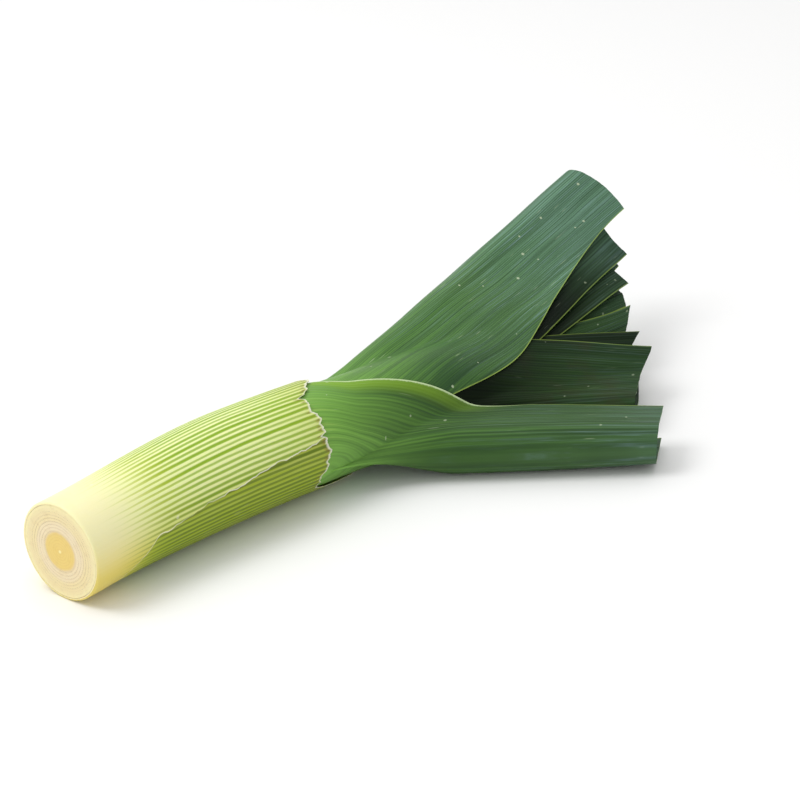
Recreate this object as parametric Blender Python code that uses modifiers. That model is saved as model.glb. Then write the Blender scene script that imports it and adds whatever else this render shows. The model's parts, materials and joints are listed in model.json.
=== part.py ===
"""A leek as sold: root cut off, leaves cut across at the tips, lying on a flat surface.

A leek is leaves. Each one is a closed sheath low down and a blade folded along its keel higher up,
and each sheath is wrapped in the one before it. The leaves stand in two opposite ranks, so that the
blades open in a fan. They are made in a straight space first and then bent together, so that one
never runs into the next:

    x  along the leek from the root cut
    n  across the leek in the plane of the fan, positive towards the upper rank
    b  across that plane, positive towards the side that shows

Object frame: +X from the root to the tips, +Z up, the surface it lies on is Z = 0. Metres.
"""

import math
from functools import partial

import bmesh
import bpy
from mathutils import Vector

MM = 0.001

# Shank.
ROOT_RADIUS = 20.0 * MM
SWELL = 0.14
SWELL_LENGTH = 90.0 * MM
WALL = 0.75 * MM
SHEATH_PITCH = 1.3 * MM
AROUND = 24
BOW = math.radians(15.0)
BOW_LENGTH = 165.0 * MM

# The shank lies on one of its flats, and points this near the surface are brought down to it.
FLAT_WITHIN = 0.12 * MM

# How the fan leans. Lean is the angle of the fan's own plane from upright, away from the side that shows.
LEAN = math.radians(67.5)
LEAN_UPPER = math.radians(38.0)
LEAN_LOWER = math.radians(90.0)
UPPER_CURL = 45.0 * MM
LOWER_CURL = 13.0 * MM

# The upper blades wave gently, all together.
WAVE = 1.4 * MM
WAVE_LENGTH = 78.0 * MM
WAVE_FROM = 180.0 * MM
WAVE_FADE = 50.0 * MM

# Blades. The halves of a folded blade stand one pitch further apart for each leaf inside it.
BLADE_PITCH = 1.35 * MM
OPENING = 62.0 * MM
OPENS_FROM = 122.0 * MM
WIDEN = 110.0 * MM
NARROW = 24.0 * MM
LENS = 0.2
FLATTEN_FROM = 188.0 * MM
FLATTEN_TO = 262.0 * MM

# Towards the tips only every second leaf is left on each side of the fan, and they draw together there
# by this share, at this distance along the leek and from its middle.
DRAW_IN = 0.4
DRAW_FROM = 205.0 * MM
DRAW_LENGTH = 100.0 * MM
DRAW_ABOVE = 18.0 * MM
DRAW_HEIGHT = 32.0 * MM
LEAF_COUNT = 8
SHANK_STATIONS = (0.0, 30.0, 60.0, 90.0)
BLADE_ROWS = 14
ROW_CROWDING = 1.45

# Each leaf, in millimetres and degrees, after a first place that the outer sheath holds: where its
# sheath opens, the keel's length from the root cut, the half blade's width once it is open, the keel's
# angle to the shank and the length over which it turns to it, the share of its width that the blade
# loses by the tip, and how far the cut tip runs ahead towards the margin, as a share of the width.
COLLAR = (0.0, 118.0, 122.0, 142.0, 149.0, 157.0, 163.0, 171.0, 175.0)
LENGTH = (0.0, 266.0, 347.5, 274.0, 346.5, 265.0, 332.0, 310.5, 325.5)
WIDEST_HALF = (0.0, 28.0, 58.0, 50.0, 44.0, 46.0, 31.0, 19.5, 12.0)
SPREAD = (0.0, 33.0, 20.7, 23.0, 22.0, 17.8, 15.0, -6.0, 4.6)
TURN = (0.0, 57.0, 46.0, 90.0, 45.0, 75.0, 45.0, 50.0, 40.0)
TIP_NARROWING = (0.0, 0.0, 0.45, 0.1, 0.05, 0.07, 0.09, 0.5, 0.28)
TIP_LEAD = (0.0, 0.3, 0.27, 0.5, -0.18, 0.87, -0.17, 1.3, -0.66)

# The torn outer sheath ends at this height. Its tongue reaches further, and so does its heel, on which
# the leek lies. Their angles are measured round the shank from the upper rank's side.
TORN_AT = 120.0 * MM
TONGUE = 13.0 * MM
TONGUE_ANGLE = math.radians(50.0)
TONGUE_WIDTH = 0.6
FRAY = 2.5 * MM
HEEL = 38.0 * MM
HEEL_ANGLE = LEAN - math.pi
HEEL_WIDTH = 0.5
FRAY_ROWS = 3
FRAYS_FROM = 100.0 * MM

HEART_RADIUS = 8.2 * MM
HEART_LENGTH = 120.0 * MM
HEART_CUTS = 4


def smooth(value):
    """An even S curve from 0 to 1."""
    value = min(max(value, 0.0), 1.0)
    return value * value * (3.0 - 2.0 * value)


def swell(x):
    """How much thicker the shank is at x than at the root."""
    return 1.0 + SWELL * smooth(x / SWELL_LENGTH)


def sheath_radius(index, x):
    """The middle of the wall of one sheath, counted from the outermost, which is 0."""
    return (ROOT_RADIUS - WALL / 2 - index * SHEATH_PITCH) * swell(x)


def arc(distance, start, end, run):
    """Travels along a path that turns evenly from one angle to another over run, then goes straight.

    Gives the way covered along sin and along cos of the angle, and the last angle.
    """
    rate = (end - start) / run
    turned = min(distance, run)
    angle = start + rate * turned
    rest = distance - turned
    along_sin = (math.cos(start) - math.cos(angle)) / rate + rest * math.sin(angle)
    along_cos = (math.sin(angle) - math.sin(start)) / rate + rest * math.cos(angle)
    return along_sin, along_cos, angle


def bend(x, n, b):
    """Takes a point of the straight space to its place on the lying leek."""
    wave = WAVE * smooth(n / WAVE_FADE) * smooth((x - WAVE_FROM) / WAVE_FADE)
    b += wave * math.sin(2 * math.pi * (x + 0.6 * n) / WAVE_LENGTH)
    edge = sheath_radius(0, x) + WALL / 2
    lean = LEAN
    near = min(max(n, -edge), edge)
    away = near * math.sin(LEAN)
    up = near * math.cos(LEAN)
    if n > edge:
        side, rise, lean = arc(n - edge, LEAN, LEAN_UPPER, UPPER_CURL)
        away += side
        up += rise
    if n < -edge:
        side, rise, lean = arc(-edge - n, LEAN, LEAN_LOWER, LOWER_CURL)
        away -= side
        up -= rise
    away -= b * math.cos(lean)
    up += b * math.sin(lean)

    start = BOW / 2
    rate = -BOW / BOW_LENGTH
    turned = min(max(x, 0.0), BOW_LENGTH)
    heading = start + rate * turned
    rest = x - turned
    along = (math.sin(heading) - math.sin(start)) / rate + rest * math.cos(heading)
    across = (math.cos(start) - math.cos(heading)) / rate + rest * math.sin(heading)
    height = edge * math.cos(math.pi / AROUND) + up
    if abs(height) < FLAT_WITHIN:
        height = 0.0
    return (
        along - away * math.sin(heading),
        across + away * math.cos(heading),
        height,
    )


def half_width(index, s):
    """Width of one half of a leaf, from keel to margin, measured across the folded leaf."""
    collar = COLLAR[index] * MM
    tip = LENGTH[index] * MM
    radius = sheath_radius(index, s)
    if s <= collar:
        return 2 * radius
    widest = WIDEST_HALF[index] * MM
    run = WIDEN if widest > 2 * radius else NARROW
    grown = 2 * radius + (widest - 2 * radius) * smooth((s - collar) / run)
    narrowed = smooth((s - collar - OPENING) / (tip - collar - OPENING))
    return grown * (1.0 - TIP_NARROWING[index] * narrowed)


def fold_nose(distance, flat):
    """Share of a fold's full depth at this distance from its keel or seam."""
    share = min(distance / (0.8 * flat + 2.0 * MM), 1.0)
    return math.sqrt(1.0 - (1.0 - share) ** 2)


def leaf_pitch(x, n):
    """How much further apart the halves of a blade stand for each leaf inside it."""
    out = smooth((abs(n) - DRAW_ABOVE) / DRAW_HEIGHT)
    return BLADE_PITCH * (1.0 - DRAW_IN * out * smooth((x - DRAW_FROM) / DRAW_LENGTH))


def fold_depth(index, x, n, v, width, closed):
    """How far each half of a leaf stands off the plane of the fan."""
    radius = sheath_radius(index, x)
    opened = smooth((x - OPENS_FROM) / OPENING)
    flatten = 1.0 - smooth((x - FLATTEN_FROM) / (FLATTEN_TO - FLATTEN_FROM))
    power = 0.5 + LENS * opened
    flat = leaf_pitch(x, n) * (LEAF_COUNT + 1 - index)
    round_part = flatten * math.sqrt(radius**2 - (flat * opened) ** 2)
    round_part *= max(1.0 - (n / radius) ** 2, 0.0) ** power
    open_part = flat * opened * fold_nose(v, flat)
    if closed:
        open_part *= fold_nose(max(width - v, 0.0), flat)
    return math.hypot(round_part, open_part)


def leaf_point(index, s, u):
    """A point in the middle of a leaf: s runs along its keel, u across it from margin to margin."""
    rank = 1.0 if index % 2 == 0 else -1.0
    collar = COLLAR[index] * MM
    tip = LENGTH[index] * MM
    x = s
    out = sheath_radius(index, s)
    angle = 0.0
    if s > collar:
        spread = math.radians(SPREAD[index])
        out_way, along, angle = arc(s - collar, 0.0, spread, TURN[index] * MM)
        x = collar + along
        out = sheath_radius(index, collar) + out_way
    even = smooth((s - FLATTEN_FROM) / (FLATTEN_TO - FLATTEN_FROM))
    across = (1.0 - even) * (1.0 - math.cos(math.pi * abs(u))) / 2 + even * abs(u)
    width = half_width(index, s)
    v = width * across
    lead = 0.0
    if s > collar:
        lead = TIP_LEAD[index] * v * ((s - collar) / (tip - collar)) ** 2
    x += v * math.sin(angle) + lead * math.cos(angle)
    n = rank * (out - v * math.cos(angle) + lead * math.sin(angle))
    depth = fold_depth(index, x, n, v, width, s <= collar)
    return x, n, math.copysign(depth, u) if u else 0.0


def near_angle(turn, centre, width):
    """A smooth hump round the shank: 1 at the centre angle, falling away over the width."""
    offset = math.atan2(math.sin(turn - centre), math.cos(turn - centre))
    return math.exp(-((offset / width) ** 2))


def sheath_point(s, u):
    """A point in the middle of the torn outer sheath: s along it, u round it. It frays towards its end."""
    turn = math.pi * u
    reach = TONGUE * near_angle(turn, TONGUE_ANGLE, TONGUE_WIDTH)
    reach += HEEL * near_angle(turn, HEEL_ANGLE, HEEL_WIDTH)
    reach += FRAY * math.sin(3.0 * turn + 0.6)
    x = s
    if s > FRAYS_FROM:
        x += reach * (s - FRAYS_FROM) / (TORN_AT - FRAYS_FROM)
    radius = sheath_radius(0, x)
    return x, radius * math.cos(turn), radius * math.sin(turn)


def material(name, colour, roughness):
    """A plain finish in the part's own colour."""
    made = bpy.data.materials.new(name)
    made.use_nodes = True
    shader = made.node_tree.nodes["Principled BSDF"]
    shader.inputs["Base Color"].default_value = (*colour, 1.0)
    shader.inputs["Roughness"].default_value = roughness
    shader.inputs["Metallic"].default_value = 0.0
    return made


def add_mesh(name, mesh, finish, collection):
    """Puts a mesh into the scene as one named piece."""
    piece = bpy.data.objects.new(name, mesh)
    mesh.materials.clear()
    mesh.materials.append(finish)
    mesh.shade_smooth()
    mesh.set_sharp_from_angle(angle=math.radians(40.0))
    collection.objects.link(piece)
    return piece


def add_leaf(name, stations, place, finish, collection):
    """Makes a leaf: a grid laid on its middle surface, joined round the sheath, thickened and bent."""
    built = bmesh.new()
    bmesh.ops.create_grid(built, x_segments=AROUND, y_segments=len(stations) - 1, size=1.0)
    for side, split in ((1.0, "FIXED"), (-1.0, "ALTERNATE")):
        quads = [face for face in built.faces if face.calc_center_median().x * side > 0.0]
        quads = [face for face in quads if len(face.verts) > 3]
        bmesh.ops.triangulate(built, faces=quads, quad_method=split)
    for vertex in built.verts:
        row = round((vertex.co.y + 1.0) / 2 * (len(stations) - 1))
        column = round((vertex.co.x + 1.0) / 2 * AROUND)
        vertex.co = place(stations[row], 2.0 * column / AROUND - 1.0)
    bmesh.ops.remove_doubles(built, verts=built.verts, dist=0.01 * MM)
    built.normal_update()
    bmesh.ops.recalc_face_normals(built, faces=built.faces)
    middle = bpy.data.meshes.new(name)
    built.to_mesh(middle)
    built.free()
    helper = bpy.data.objects.new(name + "_middle", middle)
    collection.objects.link(helper)
    wall = helper.modifiers.new("Wall", "SOLIDIFY")
    wall.thickness = WALL
    wall.offset = 0.0
    bpy.context.view_layer.update()
    graph = bpy.context.evaluated_depsgraph_get()
    mesh = bpy.data.meshes.new_from_object(helper.evaluated_get(graph))
    bpy.data.objects.remove(helper)
    for vertex in mesh.vertices:
        vertex.co = bend(*vertex.co)
    mesh.name = name
    return add_mesh(name, mesh, finish, collection)


def leaf_stations(index):
    """Places along a leaf's keel: a few up the sheath, then along the blade, closest at the collar."""
    collar = COLLAR[index] * MM
    tip = LENGTH[index] * MM
    sheath = [station * MM for station in SHANK_STATIONS] + [collar]
    shares = [((row + 1) / BLADE_ROWS) ** ROW_CROWDING for row in range(BLADE_ROWS)]
    blade = [collar + (tip - collar) * share for share in shares]
    return sheath + blade


def add_heart(finish, collection):
    """The stem with the youngest leaves rolled on it: a slim spindle in the middle of the shank."""
    built = bmesh.new()
    bmesh.ops.create_cone(
        built,
        cap_ends=True,
        segments=AROUND,
        radius1=HEART_RADIUS,
        radius2=HEART_RADIUS * 0.3,
        depth=HEART_LENGTH,
    )
    sides = [edge for edge in built.edges if abs(edge.verts[0].co.z - edge.verts[1].co.z) > MM]
    bmesh.ops.subdivide_edges(built, edges=sides, cuts=HEART_CUTS, use_grid_fill=True)
    for vertex in built.verts:
        across, side, along = vertex.co
        vertex.co = bend(along + HEART_LENGTH / 2, across, side)
    built.normal_update()
    bmesh.ops.recalc_face_normals(built, faces=built.faces)
    mesh = bpy.data.meshes.new("heart")
    built.to_mesh(mesh)
    built.free()
    return add_mesh("heart", mesh, finish, collection)


def clear_scene():
    """Removes what a new file starts with."""
    for old in list(bpy.data.objects):
        bpy.data.objects.remove(old)


def centre_on_origin(pieces):
    """Moves everything so that the origin is under the middle of the leek's box."""
    points = [vertex.co for piece in pieces for vertex in piece.data.vertices]
    middle = [(min(p[axis] for p in points) + max(p[axis] for p in points)) / 2 for axis in (0, 1)]
    shift = Vector((middle[0], middle[1], 0.0))
    for piece in pieces:
        for vertex in piece.data.vertices:
            vertex.co = vertex.co - shift


def main():
    """Builds the leek."""
    clear_scene()
    leek = bpy.data.collections.new("leek")
    bpy.context.scene.collection.children.link(leek)
    pale = material("pale_sheath", (0.74, 0.76, 0.38), 0.42)
    green = material("leaf_green", (0.09, 0.19, 0.08), 0.45)
    cream = material("heart_cream", (0.80, 0.66, 0.28), 0.5)
    shank = [station * MM for station in SHANK_STATIONS]
    frayed = [FRAYS_FROM + (TORN_AT - FRAYS_FROM) * row / FRAY_ROWS for row in range(FRAY_ROWS + 1)]
    pieces = [add_leaf("outer_sheath", shank + frayed, sheath_point, pale, leek)]
    for index in range(1, LEAF_COUNT + 1):
        place = partial(leaf_point, index)
        pieces.append(add_leaf(f"leaf_{index}", leaf_stations(index), place, green, leek))
    pieces.append(add_heart(cream, leek))
    centre_on_origin(pieces)


main()
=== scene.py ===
"""Dresses the leek: finer leaves in place of the plain solids, their finishes, and the studio.

Every leaf is made in a straight space, where x runs along the leek from the root cut, n across it in
the plane of the fan and b towards the side that shows. One common bend then lays them all down.
"""

import json
import logging
import math
from dataclasses import dataclass, field
from enum import Enum
from typing import Sequence

import bpy
import numpy as np
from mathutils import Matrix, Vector

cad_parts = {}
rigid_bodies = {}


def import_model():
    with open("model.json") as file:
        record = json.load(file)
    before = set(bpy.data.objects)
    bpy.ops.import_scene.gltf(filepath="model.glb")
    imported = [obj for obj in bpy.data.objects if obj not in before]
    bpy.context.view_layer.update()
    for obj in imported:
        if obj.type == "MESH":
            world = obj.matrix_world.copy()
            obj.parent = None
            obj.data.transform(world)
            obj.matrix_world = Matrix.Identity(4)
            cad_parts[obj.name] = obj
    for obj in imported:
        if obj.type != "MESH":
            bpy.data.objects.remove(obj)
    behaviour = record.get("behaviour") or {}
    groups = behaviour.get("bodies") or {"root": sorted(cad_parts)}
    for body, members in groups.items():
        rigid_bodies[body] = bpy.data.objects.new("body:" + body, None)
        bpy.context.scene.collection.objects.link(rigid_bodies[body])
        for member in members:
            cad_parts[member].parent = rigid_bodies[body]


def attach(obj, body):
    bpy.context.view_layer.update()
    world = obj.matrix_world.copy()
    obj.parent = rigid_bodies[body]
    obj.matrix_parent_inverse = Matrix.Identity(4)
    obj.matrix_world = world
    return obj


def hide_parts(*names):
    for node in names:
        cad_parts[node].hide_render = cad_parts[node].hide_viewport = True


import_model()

LOG = logging.getLogger("leek")
MM = 0.001
# Edges under this angle are shaded smooth, and points closer than this are one.
SMOOTH_BELOW = math.radians(50.0)
SAME_POINT = 0.01 * MM
# Below this height every leaf is a closed tube. Rims this near an end belong to its cut.
STILL_ROUND = 60.0 * MM
ROOT_RIM = 1.0 * MM
TIP_RIM_MM = 0.05
Array = np.ndarray
Colour = tuple[float, float, float, float]
Stops = tuple[tuple[float, Colour], ...]
Socket = bpy.types.NodeSocket
Piece = bpy.types.Object
Mesh = bpy.types.Mesh
Material = bpy.types.Material
Materials = Sequence[Material]


class Rank(Enum):
    """The two opposite ranks in which the leaves stand."""

    UPPER = 1.0
    LOWER = -1.0


class Face(Enum):
    """The material slots of a leaf."""

    SKIN = 0
    ROOT_CUT = 1
    TIP_CUT = 2
    MARGIN = 3


def tint(red: int, green: int, blue: int) -> Colour:
    """Turns a colour as a screen shows it into the shader's own scale.

    Args:
        red: Red from 0 to 255.
        green: Green from 0 to 255.
        blue: Blue from 0 to 255.

    Returns:
        The linear colour with full opacity.
    """
    linear = []
    for part in (red, green, blue):
        share = part / 255.0
        linear.append(share / 12.92 if share <= 0.04045 else ((share + 0.055) / 1.055) ** 2.4)
    return (linear[0], linear[1], linear[2], 1.0)


def dimmed(colour: Colour, share: float) -> Colour:
    """The same colour with only a share of its light."""
    return (colour[0] * share, colour[1] * share, colour[2] * share, 1.0)


def smooth(value: Array) -> Array:
    """An even S curve from 0 to 1."""
    value = np.clip(value, 0.0, 1.0)
    return value * value * (3.0 - 2.0 * value)


def waver(place: Array, seed: float) -> Array:
    """A wandering line with no pattern to see, from -1 to 1.

    Args:
        place: Where on the line, one unit for a turn of its slowest part.
        seed: Shifts the line, so that no two are the same.

    Returns:
        The line's height at each place.
    """
    slow = np.sin(2 * math.pi * place + seed)
    middle = np.sin(2 * math.pi * 2.7 * place + 1.9 * seed + 1.0)
    quick = np.sin(2 * math.pi * 6.1 * place + 3.1 * seed + 2.0)
    return 0.5 * slow + 0.3 * middle + 0.2 * quick


def arc(distance: Array, start: float, end: float, run: float) -> tuple[Array, Array, Array]:
    """Travels along a path that turns evenly from one angle to another over run, then goes straight.

    Args:
        distance: How far along the path.
        start: The first angle.
        end: The last angle.
        run: The length over which the path turns.

    Returns:
        The way covered along the sine and along the cosine of the angle, and the angle reached.
    """
    rate = (end - start) / run
    turned = np.minimum(distance, run)
    angle = start + rate * turned
    rest = distance - turned
    along_sin = (math.cos(start) - np.cos(angle)) / rate + rest * np.sin(angle)
    along_cos = (np.sin(angle) - math.sin(start)) / rate + rest * np.cos(angle)
    return along_sin, along_cos, angle


@dataclass(frozen=True)
class Growth:
    """Sizes that all the leaves share, and the bend that lays the straight leek down."""

    root_radius: float = 20.0 * MM
    swell: float = 0.14
    swell_length: float = 90.0 * MM
    wall: float = 0.75 * MM
    sheath_pitch: float = 1.3 * MM
    around: int = 24
    bow: float = math.radians(15.0)
    bow_length: float = 165.0 * MM
    lean: float = math.radians(67.5)
    lean_upper: float = math.radians(38.0)
    lean_lower: float = math.radians(90.0)
    upper_curl: float = 45.0 * MM
    lower_curl: float = 13.0 * MM
    wave: float = 1.4 * MM
    wave_length: float = 78.0 * MM
    wave_from: float = 180.0 * MM
    wave_fade: float = 50.0 * MM
    blade_pitch: float = 1.35 * MM
    opening: float = 62.0 * MM
    opens_from: float = 122.0 * MM
    widen: float = 110.0 * MM
    narrow: float = 24.0 * MM
    lens: float = 0.2
    flatten_from: float = 188.0 * MM
    flatten_to: float = 262.0 * MM
    draw_in: float = 0.4
    draw_from: float = 205.0 * MM
    draw_length: float = 100.0 * MM
    draw_above: float = 18.0 * MM
    draw_height: float = 32.0 * MM
    leaf_count: int = 8
    root_cut: tuple[float, float, float] = (-0.1786081, 0.0221925, 0.0198)

    def sheath_radius(self, index: int, x: Array) -> Array:
        """The middle of the wall of one sheath, counted from the outermost, which is 0."""
        swelling = 1.0 + self.swell * smooth(x / self.swell_length)
        return (self.root_radius - self.wall / 2 - index * self.sheath_pitch) * swelling

    def flat_share(self, x: Array) -> Array:
        """How far the folded blades have gone from round to flat, from 0 to 1."""
        return smooth((x - self.flatten_from) / (self.flatten_to - self.flatten_from))

    def leaf_pitch(self, x: Array, n: Array) -> Array:
        """How much further apart the halves of a blade stand for each leaf inside it.

        Args:
            x: Places along the leek.
            n: Places across it.

        Returns:
            The distance, smaller towards the rims of the fan.
        """
        out = smooth((np.abs(n) - self.draw_above) / self.draw_height)
        drawn = self.draw_in * out * smooth((x - self.draw_from) / self.draw_length)
        return self.blade_pitch * (1.0 - drawn)

    def lay(self, points: Array) -> Array:
        """Takes points of the straight space to their places on the lying leek.

        Args:
            points: One row of x, n and b for each point.

        Returns:
            The same points in the shared frame.
        """
        x, n, b = points[:, 0], points[:, 1], points[:, 2]
        risen = smooth(n / self.wave_fade) * smooth((x - self.wave_from) / self.wave_fade)
        b = b + self.wave * risen * np.sin(2 * math.pi * (x + 0.6 * n) / self.wave_length)
        edge = self.sheath_radius(0, x) + self.wall / 2
        near = np.clip(n, -edge, edge)
        above = arc(np.maximum(n - edge, 0.0), self.lean, self.lean_upper, self.upper_curl)
        below = arc(np.maximum(-edge - n, 0.0), self.lean, self.lean_lower, self.lower_curl)
        lean = np.where(n > edge, above[2], np.where(n < -edge, below[2], self.lean))
        away = near * math.sin(self.lean) + above[0] - below[0] - b * np.cos(lean)
        up = near * math.cos(self.lean) + above[1] - below[1] + b * np.sin(lean)
        start = self.bow / 2
        rate = -self.bow / self.bow_length
        turned = np.clip(x, 0.0, self.bow_length)
        heading = start + rate * turned
        rest = x - turned
        along = (np.sin(heading) - math.sin(start)) / rate + rest * np.cos(heading)
        across = (math.cos(start) - np.cos(heading)) / rate + rest * np.sin(heading)
        height = np.maximum(edge * math.cos(math.pi / self.around) + up, 0.0)
        laid_x = along - away * np.sin(heading) + self.root_cut[0]
        laid_y = across + away * np.cos(heading) + self.root_cut[1]
        return np.stack([laid_x, laid_y, height], axis=1)


GROWTH = Growth()


def select_only(piece: Piece | None = None) -> None:
    """Deselects everything but one piece, which becomes the active one.

    Args:
        piece: The piece, or nothing to leave all deselected.
    """
    for thing in bpy.context.view_layer.objects:
        thing.select_set(False)
    if piece:
        piece.select_set(True)
        bpy.context.view_layer.objects.active = piece


def edit(piece: Piece, mode: str = "EDIT") -> None:
    """Makes a piece the one worked on, and goes in or out of edit mode."""
    bpy.context.view_layer.objects.active = piece
    bpy.ops.object.mode_set(mode=mode)


def read_rows(held: bpy.types.bpy_prop_collection, name: str, width: int) -> Array:
    """Reads a property of every item in a collection.

    Args:
        held: The collection, such as a mesh's points.
        name: The property.
        width: How many numbers it has.

    Returns:
        One row for each item, or one number where the width is 1.
    """
    flat = np.empty(len(held) * width, np.float32)
    held.foreach_get(name, flat)
    return (flat.reshape(-1, width) if width > 1 else flat).astype(float)


def read_points(mesh: Mesh) -> Array:
    """Reads a mesh's points as rows of three numbers."""
    return read_rows(mesh.vertices, "co", 3)


def write_points(mesh: Mesh, points: Array) -> None:
    """Moves a mesh's points to these places."""
    mesh.vertices.foreach_set("co", points.astype(np.float32).ravel())
    mesh.update()


def read_value(mesh: Mesh, name: str) -> Array:
    """Reads one number a point from a named attribute."""
    return read_rows(mesh.attributes[name].data, "value", 1)


def write_value(mesh: Mesh, name: str, values: Array) -> None:
    """Writes one number a point to a named attribute, which is made if there is none."""
    held = mesh.attributes.get(name) or mesh.attributes.new(name, "FLOAT", "POINT")
    held.data.foreach_set("value", np.asarray(values, np.float32))


@dataclass
class Sheet:
    """A leaf's middle surface and the walls on its two sides."""

    name: str
    columns: int
    veins: int

    def stations(self, u: Array) -> Array:
        """Places along the leaf, one row for each, with a column for each place across it."""
        raise NotImplementedError

    def middle(self, s: Array, u: Array) -> Array:
        """Points of the middle surface, in the straight space."""
        raise NotImplementedError

    def marks(self, s: Array, u: Array) -> dict[str, Array]:
        """What the finishes read at each point: distances along, across and from the edges."""
        raise NotImplementedError

    def walls(self, s: Array, u: Array, held: dict[str, Array]) -> tuple[Array, Array]:
        """How far the outer and the inner face stand off the middle surface."""
        raise NotImplementedError

    def build(self) -> Piece:
        """Models the leaf.

        Returns:
            The finished piece, laid down in the shared frame, with its four slots set by face.
        """
        u = np.linspace(-1.0, 1.0, self.columns + 1)
        s = self.stations(u)
        piece = self.grid(s.shape[0] - 1)
        mesh = piece.data
        self.form(mesh, s, u)
        self.close_seam(piece)
        normals = self.outward_normals(mesh)
        self.thicken(piece)
        self.raise_walls(mesh, normals)
        self.sort_faces(mesh, len(normals))
        select_only(piece)
        bpy.ops.object.shade_smooth_by_angle(angle=SMOOTH_BELOW)
        return piece

    def grid(self, rows: int) -> Piece:
        """Adds the plain grid that the leaf is formed from, with nothing else selected.

        Args:
            rows: Rows of faces, from the root to the tip.

        Returns:
            The grid, under the leaf's name.
        """
        select_only()
        bpy.ops.mesh.primitive_grid_add(
            x_subdivisions=self.columns, y_subdivisions=rows, size=2.0, calc_uvs=False
        )
        piece = bpy.context.active_object
        piece.name = self.name
        piece.data.name = self.name
        return piece

    def form(self, mesh: Mesh, s: Array, u: Array) -> None:
        """Moves the grid's points to the middle surface and writes what the finishes read.

        Args:
            mesh: The grid.
            s: Places along the leaf, for each row and column of points.
            u: Places across it, for each column.
        """
        flat = (read_points(mesh) + 1.0) / 2
        row = np.rint(flat[:, 1] * (s.shape[0] - 1)).astype(int)
        column = np.rint(flat[:, 0] * self.columns).astype(int)
        s, u = s[row, column], u[column]
        write_points(mesh, self.middle(s, u))
        for name, values in {"s": s, "u": u, **self.marks(s, u)}.items():
            write_value(mesh, name, values)

    def close_seam(self, piece: Piece) -> None:
        """Joins the two margins where the leaf is still a closed tube, and evens its normals.

        Args:
            piece: The leaf.
        """
        edit(piece)
        bpy.ops.mesh.select_all(action="SELECT")
        bpy.ops.mesh.remove_doubles(threshold=SAME_POINT)
        bpy.ops.mesh.normals_make_consistent(inside=False)
        edit(piece, "OBJECT")

    def outward_normals(self, mesh: Mesh) -> Array:
        """Reads the middle surface's normals, turned so that they point away from the axis.

        Args:
            mesh: The sheet. Its faces are flipped if they look inwards.

        Returns:
            One normal for each point.
        """
        normals = read_rows(mesh.vertices, "normal", 3)
        points = read_points(mesh)
        low = read_value(mesh, "s") < STILL_ROUND
        if np.sum(normals[low, 1:] * points[low, 1:]) < 0.0:
            mesh.flip_normals()
            normals = -normals
        return normals

    def thicken(self, piece: Piece) -> None:
        """Gives the sheet its second face and the rims round it.

        Args:
            piece: The leaf.
        """
        wall = piece.modifiers.new("Wall", "SOLIDIFY")
        wall.thickness = GROWTH.wall
        wall.offset = 0.0
        select_only(piece)
        bpy.ops.object.modifier_apply(modifier=wall.name)

    def raise_walls(self, mesh: Mesh, normals: Array) -> None:
        """Moves the two faces to where the leaf's own walls stand, and lays the leaf down.

        Args:
            mesh: The thickened sheet, whose second face repeats the points of the first.
            normals: Normals of the middle surface, for the points of one face.
        """
        count = len(normals)
        points = read_points(mesh)
        middle = (points[:count] + points[count:]) / 2
        s, u = read_value(mesh, "s")[:count], read_value(mesh, "u")[:count]
        held = {name: read_value(mesh, name)[:count] for name in self.marks(s, u)}
        outer, inner = self.walls(s, u, held)
        outside = middle + normals * outer[:, None]
        inside = middle - normals * inner[:, None]
        first_is_outer = np.sum((points[:count] - middle) * normals) > 0.0
        sides = (outside, inside) if first_is_outer else (inside, outside)
        write_points(mesh, GROWTH.lay(np.concatenate(sides)))

    def sort_faces(self, mesh: Mesh, count: int) -> None:
        """Gives each face its slot: skin, the cut at the root, the cut at the tip, or the margin.

        Args:
            mesh: The leaf with both its faces.
            count: How many points one face has. What joins the two faces is a rim.
        """
        s = read_value(mesh, "s")
        cut = read_value(mesh, "cut_mm")
        for polygon in mesh.polygons:
            corners = list(polygon.vertices)
            slot = Face.SKIN
            if min(corners) < count <= max(corners):
                slot = Face.MARGIN
                if max(s[corner] for corner in corners) < ROOT_RIM:
                    slot = Face.ROOT_CUT
                elif max(cut[corner] for corner in corners) < TIP_RIM_MM:
                    slot = Face.TIP_CUT
            polygon.material_index = slot.value


# Where the rows of points stand near the root, in millimetres.
ROOT_STATIONS = (0.0, 0.12, 0.3, 0.6, 1.0, 2.0, 4.0, 8.0, 14.0)
# The gap left between two sheaths at the root, and where they thin to their plain walls.
RING_GAP = 0.01 * MM
FLESHY_FROM = 3.0 * MM
FLESHY_FADE = 9.0 * MM
INNER_RIM_DROP = 0.12 * MM
# A closed sheath counts as this far from its margin, which starts to count as the leaf opens.
FAR_FROM_MARGIN_MM = 40.0
MARGIN_OPENS = 10.0 * MM
UNEVEN_CUT = 0.12 * MM


def filled_walls(s: Array, rounding: float) -> tuple[Array, Array]:
    """The walls of a sheath near the root, where it is fleshy and fills the space to the next one.

    Args:
        s: Places along the leaf.
        rounding: How softly the rim of the cut is rounded.

    Returns:
        The outer and the inner wall.
    """
    half = GROWTH.wall / 2
    room = GROWTH.sheath_pitch - GROWTH.wall - RING_GAP
    inner = half + room * (1.0 - smooth((s - FLESHY_FROM) / FLESHY_FADE))
    share = np.clip(1.0 - s / rounding, 0.0, 1.0)
    drop = rounding * 0.7 * (1.0 - np.sqrt(1.0 - share**2))
    return half - drop, inner - np.minimum(drop, INNER_RIM_DROP)


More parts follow.
